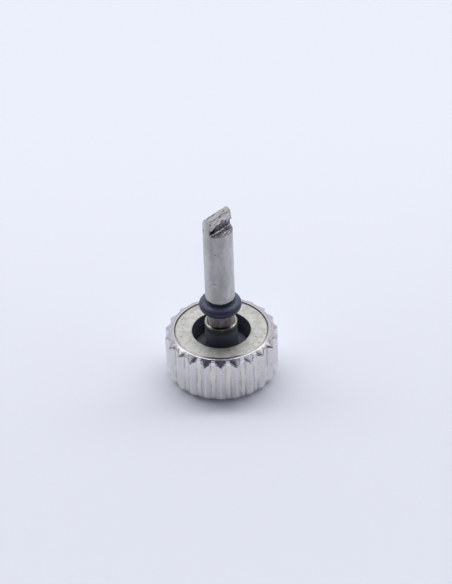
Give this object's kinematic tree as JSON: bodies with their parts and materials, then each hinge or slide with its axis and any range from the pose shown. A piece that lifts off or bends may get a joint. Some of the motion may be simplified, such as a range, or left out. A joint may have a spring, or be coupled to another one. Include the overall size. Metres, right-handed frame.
{
  "type": "watch crown",
  "caption": "Fluted watch crown with a spring-loaded telescoping stem: threaded recess, guide post, sliding piston, O-ring groove and a hooked split-stem tip.",
  "frame": {"origin": "centre of the crown's outer face, which it stands on", "axes": "+Z along the stem, from the outer face towards the hooked tip; -Y towards the viewer of the picture"},
  "size_m": [0.006, 0.006, 0.0103],
  "materials": {
    "shell_steel": "satin",
    "insert_steel": "satin",
    "post_steel": "satin",
    "piston_steel": "satin",
    "stem_steel": "satin",
    "inner_steel": "satin",
    "gasket_rubber": "matte",
    "oring_rubber": "satin"
  },
  "bodies": {
    "crown": {"crown_shell": "shell_steel", "insert_ring": "insert_steel", "post": "post_steel", "recess_gasket": "gasket_rubber", "drive_stud": "inner_steel", "spring": "inner_steel"},
    "stem": {"piston": "piston_steel", "stem": "stem_steel", "stem_oring": "oring_rubber"}
  },
  "joints": [
    {"name": "stem_slide", "type": "slide", "parent": "crown", "child": "stem", "axis": [0, 0, 1], "range_m": [-0.0006, 0], "stiffness_N_per_m": 1200, "deforming": ["spring"]}
  ]
}
